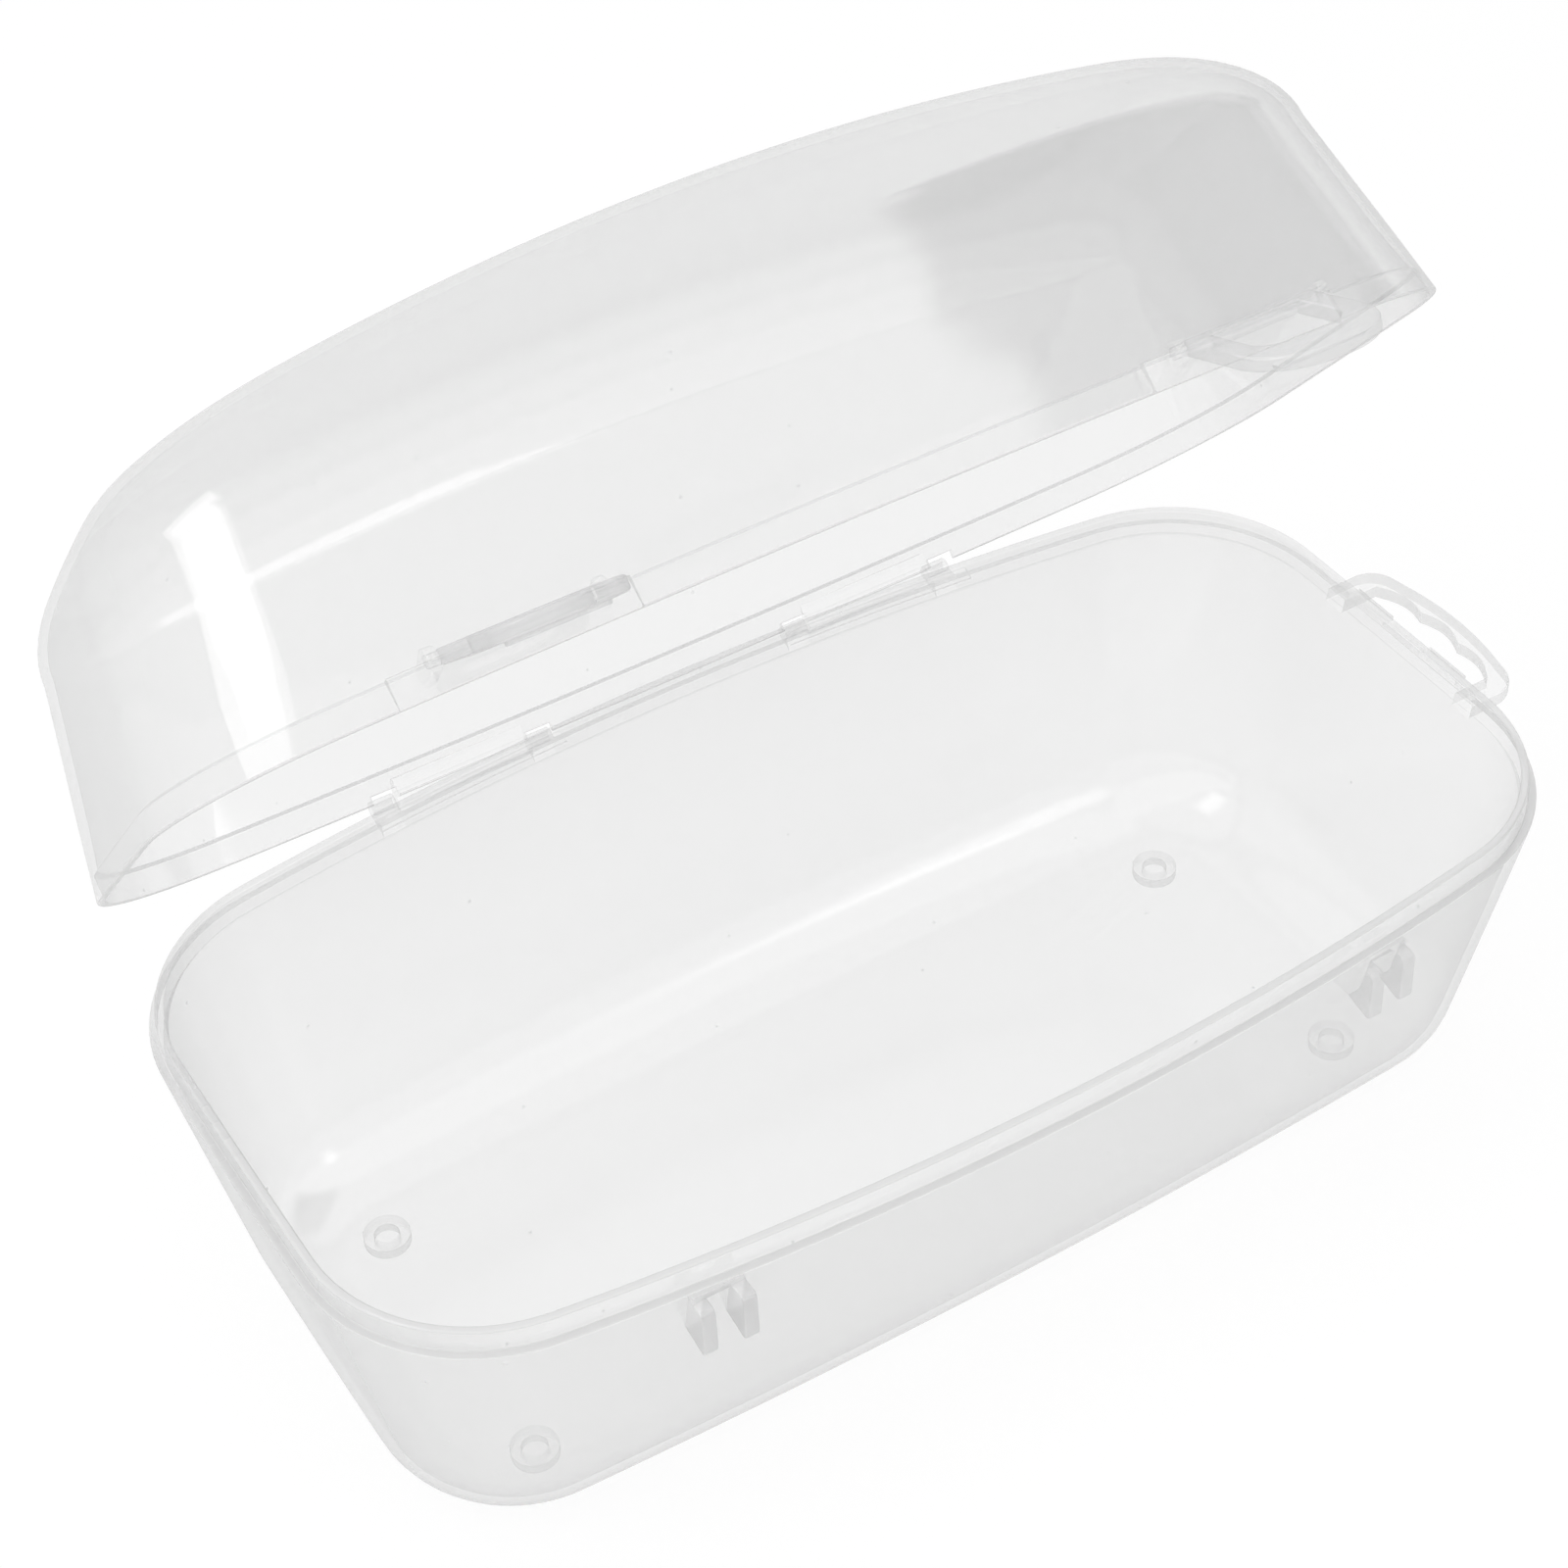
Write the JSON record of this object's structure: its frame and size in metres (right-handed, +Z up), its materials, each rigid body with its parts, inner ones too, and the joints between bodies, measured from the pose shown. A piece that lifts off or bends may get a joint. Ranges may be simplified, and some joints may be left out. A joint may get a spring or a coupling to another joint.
{
  "type": "diving mask case",
  "caption": "Clear hinged box with a deep tray, a crowned lid, ring latches over hooked fins and a scalloped carry loop.",
  "frame": {"origin": "centre of the plane that the tray's four ring feet stand on", "axes": "+X along the case towards the carry loop, -Y towards the latches, +Z up"},
  "size_m": [0.2217, 0.1455, 0.1685],
  "materials": {
    "clear_polypropylene": "satin translucent, faintly milky"
  },
  "bodies": {
    "tray": {"tray": "clear_polypropylene"},
    "lid": {"lid": "clear_polypropylene"},
    "latch_left": {"latch_left": "clear_polypropylene"},
    "latch_right": {"latch_right": "clear_polypropylene"}
  },
  "joints": [
    {"name": "lid_hinge", "type": "hinge", "parent": "tray", "child": "lid", "pos_m": [0, 0.0577, 0.0573], "axis": [-1, 0, 0], "range_deg": [-48.8, 131.2]},
    {"name": "left_latch_pivot", "type": "hinge", "parent": "lid", "child": "latch_left", "pos_m": [-0.0572, -0.01496, 0.14667], "axis": [-1, 0, 0], "range_deg": [-82, 88]},
    {"name": "right_latch_pivot", "type": "hinge", "parent": "lid", "child": "latch_right", "pos_m": [0.0572, -0.01496, 0.14667], "axis": [-1, 0, 0], "range_deg": [-62, 108]}
  ]
}
